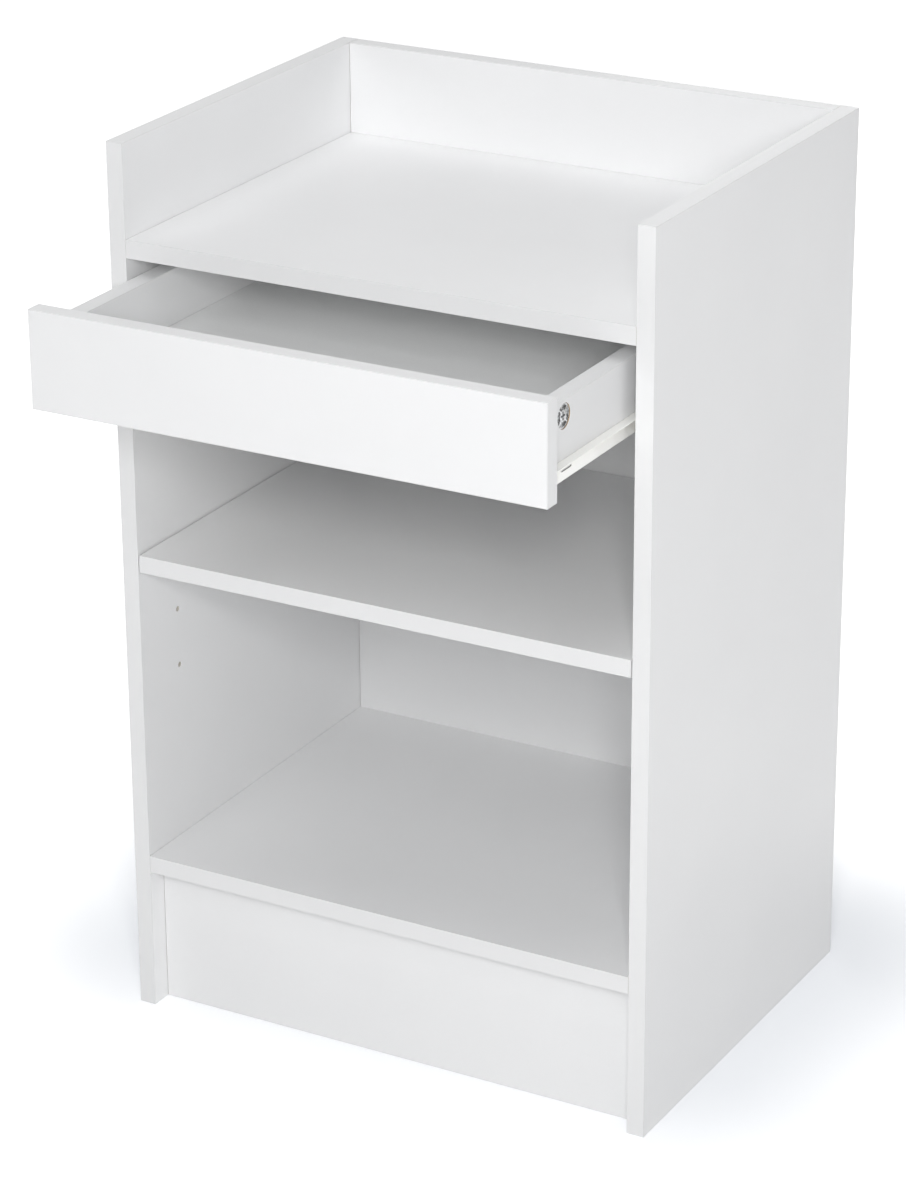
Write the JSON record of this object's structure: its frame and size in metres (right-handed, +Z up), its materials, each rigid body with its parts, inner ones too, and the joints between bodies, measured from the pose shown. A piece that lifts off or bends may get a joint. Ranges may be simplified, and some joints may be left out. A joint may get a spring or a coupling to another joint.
{
  "type": "cash register stand",
  "caption": "Counter-height white stand for a cash register: sunken well on top, drawer on roller slides, adjustable shelf and a closed base with a recessed kick plate.",
  "frame": {"origin": "on the floor, in the middle of the box that holds the stand with its drawer partly open, as pictured", "axes": "+X to the right seen from the drawer side, -Y towards the person who opens the drawer, +Z up"},
  "size_m": [0.61, 0.636, 0.965],
  "materials": {
    "white_melamine": "satin white melamine on particle board, edge-banded",
    "white_hardboard": "matt white paper-faced hardboard",
    "white_coated_steel": "gloss white epoxy coating",
    "white_nylon": "satin moulded nylon",
    "zinc_alloy": "bright die-cast zinc",
    "plated_steel": "nickel-plated steel",
    "beech": "plain beech, chamfered ends"
  },
  "bodies": {
    "cabinet": {"left_side_panel": "white_melamine", "right_side_panel": "white_melamine", "back_panel": "white_melamine", "register_deck": "white_melamine", "bottom_deck": "white_melamine", "kick_plate": "white_melamine", "left_cabinet_runner": "white_coated_steel", "right_cabinet_runner": "white_coated_steel", "left_front_rivet": "plated_steel", "right_front_rivet": "plated_steel", "shelf_pin_front_left": "plated_steel", "shelf_pin_front_right": "plated_steel", "shelf_pin_rear_left": "plated_steel", "shelf_pin_rear_right": "plated_steel", "register_deck_front_left_cam": "zinc_alloy", "register_deck_front_left_bolt": "zinc_alloy", "register_deck_front_right_cam": "zinc_alloy", "register_deck_front_right_bolt": "zinc_alloy", "register_deck_rear_left_cam": "zinc_alloy", "register_deck_rear_left_bolt": "zinc_alloy", "register_deck_rear_right_cam": "zinc_alloy", "register_deck_rear_right_bolt": "zinc_alloy", "bottom_deck_front_left_cam": "zinc_alloy", "bottom_deck_front_left_bolt": "zinc_alloy", "bottom_deck_front_right_cam": "zinc_alloy", "bottom_deck_front_right_bolt": "zinc_alloy", "bottom_deck_rear_left_cam": "zinc_alloy", "bottom_deck_rear_left_bolt": "zinc_alloy", "bottom_deck_rear_right_cam": "zinc_alloy", "bottom_deck_rear_right_bolt": "zinc_alloy", "back_dowel_upper_left": "beech", "back_dowel_upper_right": "beech", "back_dowel_lower_left": "beech", "back_dowel_lower_right": "beech", "kick_dowel_left": "beech", "kick_dowel_right": "beech"},
    "drawer": {"drawer_front": "white_melamine", "drawer_left_side": "white_melamine", "drawer_right_side": "white_melamine", "drawer_back": "white_melamine", "drawer_bottom": "white_hardboard", "left_drawer_runner": "white_coated_steel", "right_drawer_runner": "white_coated_steel", "left_rear_rivet": "plated_steel", "right_rear_rivet": "plated_steel", "drawer_front_left_cam": "zinc_alloy", "drawer_front_left_bolt": "zinc_alloy", "drawer_front_right_cam": "zinc_alloy", "drawer_front_right_bolt": "zinc_alloy", "drawer_back_left_cam": "zinc_alloy", "drawer_back_left_bolt": "zinc_alloy", "drawer_back_right_cam": "zinc_alloy", "drawer_back_right_bolt": "zinc_alloy"},
    "shelf": {"adjustable_shelf": "white_melamine"},
    "left_front_wheel": {"left_front_roller": "white_nylon"},
    "right_front_wheel": {"right_front_roller": "white_nylon"},
    "left_rear_wheel": {"left_rear_roller": "white_nylon"},
    "right_rear_wheel": {"right_rear_roller": "white_nylon"}
  },
  "joints": [
    {"name": "drawer_slide", "type": "slide", "parent": "cabinet", "child": "drawer", "axis": [0, -1, 0], "range_m": [-0.174, 0.125]},
    {"name": "shelf_lift", "type": "slide", "parent": "cabinet", "child": "shelf", "axis": [0, 0, 1], "range_m": [0, 0.064]},
    {"name": "left_front_roller_spin", "type": "hinge", "parent": "cabinet", "child": "left_front_wheel", "pos_m": [-0.28055, -0.111, 0.7615], "axis": [1, 0, 0], "range_deg": [-1250, 900]},
    {"name": "right_front_roller_spin", "type": "hinge", "parent": "cabinet", "child": "right_front_wheel", "pos_m": [0.28055, -0.111, 0.7615], "axis": [1, 0, 0], "range_deg": [-1250, 900]},
    {"name": "left_rear_roller_spin", "type": "hinge", "parent": "drawer", "child": "left_rear_wheel", "pos_m": [-0.27875, 0.089, 0.761], "axis": [1, 0, 0], "range_deg": [-1250, 900]},
    {"name": "right_rear_roller_spin", "type": "hinge", "parent": "drawer", "child": "right_rear_wheel", "pos_m": [0.27875, 0.089, 0.761], "axis": [1, 0, 0], "range_deg": [-1250, 900]}
  ],
  "couplings": [
    {"joint": "left_front_roller_spin", "follows": "drawer_slide", "rad_per_m": 125},
    {"joint": "right_front_roller_spin", "follows": "drawer_slide", "rad_per_m": 125},
    {"joint": "left_rear_roller_spin", "follows": "drawer_slide", "rad_per_m": 125},
    {"joint": "right_rear_roller_spin", "follows": "drawer_slide", "rad_per_m": 125}
  ]
}
